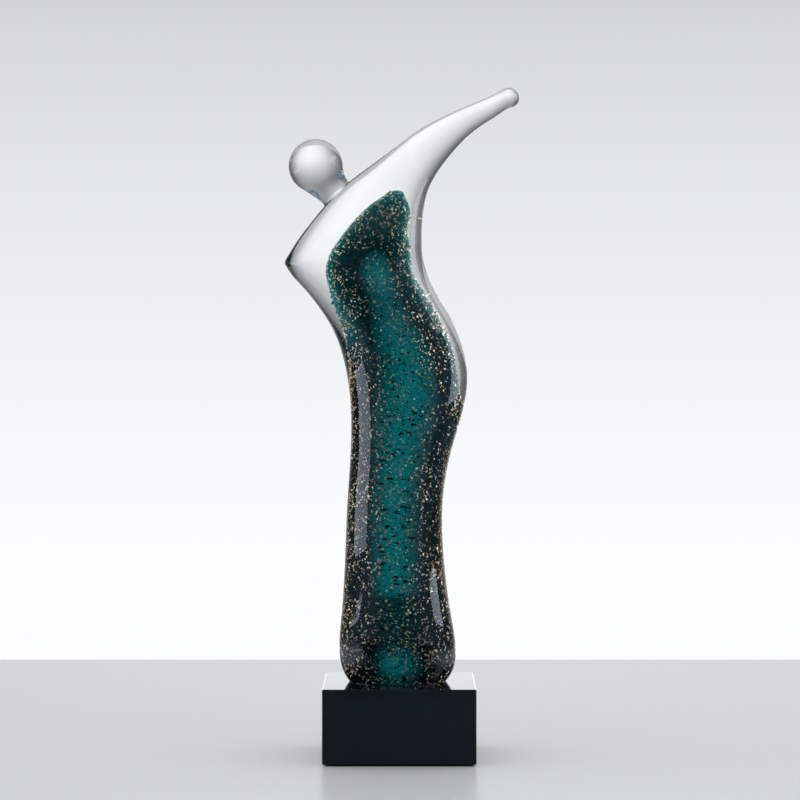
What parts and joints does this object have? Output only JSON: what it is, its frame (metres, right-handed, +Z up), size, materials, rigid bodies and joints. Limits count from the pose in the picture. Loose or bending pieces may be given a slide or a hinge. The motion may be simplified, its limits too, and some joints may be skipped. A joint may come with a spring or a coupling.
{
  "type": "glass trophy",
  "caption": "Hot-sculpted cased-glass figure with a ball head and a raised arm, standing on a polished black glass block.",
  "frame": {"origin": "centre of the underside of the pad, on the surface that the trophy stands on", "axes": "+Z up, front towards -Y, +X to the side that the raised arm points to"},
  "size_m": [0.124, 0.08, 0.3541],
  "materials": {
    "clear_glass": "fire polished",
    "teal_glass": "transparent colour, fused under clear glass",
    "black_glass": "opaque, cut and polished",
    "clear_adhesive": "cured clear adhesive",
    "black_felt": "pressed felt"
  },
  "bodies": {
    "root": {"casing": "clear_glass", "colour_layer": "teal_glass", "inner_gather": "clear_glass", "head": "clear_glass", "glue_film": "clear_adhesive", "plinth": "black_glass", "felt_pad": "black_felt"}
  },
  "joints": []
}
